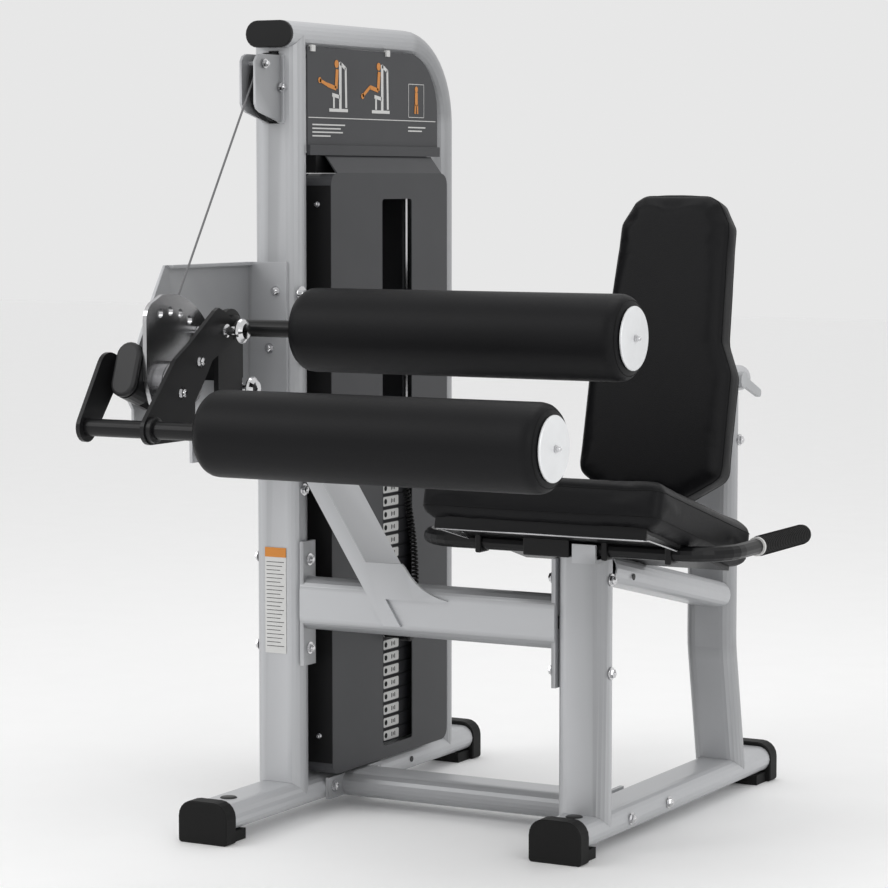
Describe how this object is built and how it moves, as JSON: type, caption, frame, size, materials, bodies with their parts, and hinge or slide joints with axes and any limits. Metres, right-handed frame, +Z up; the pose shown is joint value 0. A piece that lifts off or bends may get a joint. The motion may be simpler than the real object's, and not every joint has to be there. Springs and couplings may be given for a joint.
{
  "type": "seated leg curl machine",
  "caption": "Seated leg curl machine: weight stack tower with cable and cam, swinging ankle roller, height-set thigh roller, padded seat, sliding backrest and side handles.",
  "frame": {"origin": "bottom centre of the bounding box, on the floor", "axes": "+Z up, -Y the side the user faces and the rollers stand on, +X from the weight tower along the rollers"},
  "size_m": [1.0074, 1.3962, 1.5],
  "materials": {
    "silver_paint": "satin",
    "black_paint": "satin",
    "shroud_grey": "satin",
    "pad_vinyl": "matt vinyl",
    "rubber": "matt",
    "polished_steel": "polished",
    "chrome": "mirror",
    "brushed_aluminium": "brushed",
    "cast_iron": "painted",
    "nylon": "satin",
    "cable_coat": "satin",
    "pale_plastic": "satin"
  },
  "bodies": {
    "frame": {"tower_base_tube": "silver_paint", "seat_base_tube": "silver_paint", "arch_tube": "silver_paint", "tower_front_upright": "silver_paint", "seat_front_upright": "silver_paint", "seat_rear_upright": "silver_paint", "seat_rail": "silver_paint", "upper_cross_tube": "silver_paint", "lower_cross_tube": "silver_paint", "pivot_side_plate": "silver_paint", "pivot_brace": "silver_paint", "thigh_guide": "silver_paint", "front_pulley_bracket": "silver_paint", "inner_pulley_hanger": "silver_paint", "guide_top_bar": "silver_paint", "arch_end_plug": "black_paint", "seat_board": "black_paint", "handle_bar": "black_paint", "stack_cover_near": "shroud_grey", "stack_cover_far": "shroud_grey", "placard_panel": "shroud_grey", "seat_pad": "pad_vinyl", "tower_foot_front": "rubber", "tower_foot_rear": "rubber", "seat_foot_front": "rubber", "seat_foot_rear": "rubber", "handle_grip_left": "rubber", "handle_grip_right": "rubber", "pivot_shaft": "chrome", "guide_rod_front": "chrome", "guide_rod_rear": "chrome", "resting_plates": "cast_iron", "weight_cable": "cable_coat", "stack_base": "pale_plastic"},
    "cam_wheel": {"cam": "polished_steel", "cam_cable": "cable_coat"},
    "leg_lever": {"lever_tube": "black_paint", "lever_tube_cap": "nylon", "ankle_plate_near": "black_paint", "ankle_plate_far": "black_paint", "ankle_hub": "polished_steel", "ankle_shaft": "black_paint"},
    "ankle_roller": {"ankle_roller_pad": "pad_vinyl", "ankle_roller_cap": "brushed_aluminium"},
    "start_pin": {"start_pull_pin": "chrome"},
    "thigh_slide": {"thigh_arm": "black_paint", "thigh_shaft": "black_paint"},
    "thigh_roller": {"thigh_roller_pad": "pad_vinyl", "thigh_roller_cap": "brushed_aluminium"},
    "thigh_pin": {"thigh_pull_pin": "chrome"},
    "front_sheave": {"front_pulley": "nylon"},
    "inner_sheave": {"inner_pulley": "nylon"},
    "lifted_stack": {"lifted_plates": "cast_iron", "head_plate": "cast_iron", "selector_rod": "chrome", "selector_lanyard": "rubber"},
    "stack_pin": {"selector_pin": "black_paint"},
    "backrest": {"backrest_pad": "pad_vinyl", "backrest_carriage": "black_paint"},
    "backrest_lock": {"backrest_lever": "pale_plastic"}
  },
  "joints": [
    {"name": "curl", "type": "hinge", "parent": "frame", "child": "cam_wheel", "pos_m": [-0.42615, -0.4799, 0.846], "axis": [1, 0, 0], "range_deg": [0, 68]},
    {"name": "start_adjust", "type": "hinge", "parent": "cam_wheel", "child": "leg_lever", "pos_m": [-0.42615, -0.4799, 0.846], "axis": [1, 0, 0], "range_deg": [0, 56.4]},
    {"name": "ankle_roller_spin", "type": "hinge", "parent": "leg_lever", "child": "ankle_roller", "pos_m": [-0.42615, -0.6219, 0.778], "axis": [1, 0, 0], "continuous": true},
    {"name": "start_pin_pull", "type": "slide", "parent": "leg_lever", "child": "start_pin", "axis": [1, 0, 0], "range_m": [0, 0.012], "stiffness_N_per_m": 900},
    {"name": "thigh_height", "type": "slide", "parent": "frame", "child": "thigh_slide", "axis": [0, 0, 1], "range_m": [0, 0.1]},
    {"name": "thigh_roller_spin", "type": "hinge", "parent": "thigh_slide", "child": "thigh_roller", "pos_m": [-0.42615, -0.3269, 0.941], "axis": [1, 0, 0], "continuous": true},
    {"name": "thigh_pin_pull", "type": "slide", "parent": "frame", "child": "thigh_pin", "axis": [1, 0, 0], "range_m": [0, 0.012], "stiffness_N_per_m": 900},
    {"name": "front_sheave_spin", "type": "hinge", "parent": "frame", "child": "front_sheave", "pos_m": [-0.42615, -0.1149, 1.377], "axis": [1, 0, 0], "range_deg": [0, 160]},
    {"name": "inner_sheave_spin", "type": "hinge", "parent": "frame", "child": "inner_sheave", "pos_m": [-0.42615, 0.1441, 1.377], "axis": [1, 0, 0], "range_deg": [0, 160]},
    {"name": "stack_lift", "type": "slide", "parent": "frame", "child": "lifted_stack", "axis": [0, 0, 1], "range_m": [0, 0.17]},
    {"name": "stack_pin_pull", "type": "slide", "parent": "lifted_stack", "child": "stack_pin", "axis": [1, 0, 0], "range_m": [0, 0.085]},
    {"name": "backrest_slide", "type": "slide", "parent": "frame", "child": "backrest", "axis": [0, -1, 0], "range_m": [0, 0.1]},
    {"name": "backrest_lock_turn", "type": "hinge", "parent": "frame", "child": "backrest_lock", "pos_m": [0.20985, 0.4901, 0.82], "axis": [1, 0, 0], "range_deg": [0, 35], "stiffness_Nm_per_rad": 2}
  ],
  "couplings": [
    {"joint": "stack_lift", "follows": "curl", "m_per_rad": 0.14},
    {"joint": "front_sheave_spin", "follows": "curl", "ratio": 2.3333},
    {"joint": "inner_sheave_spin", "follows": "curl", "ratio": 2.3333}
  ]
}
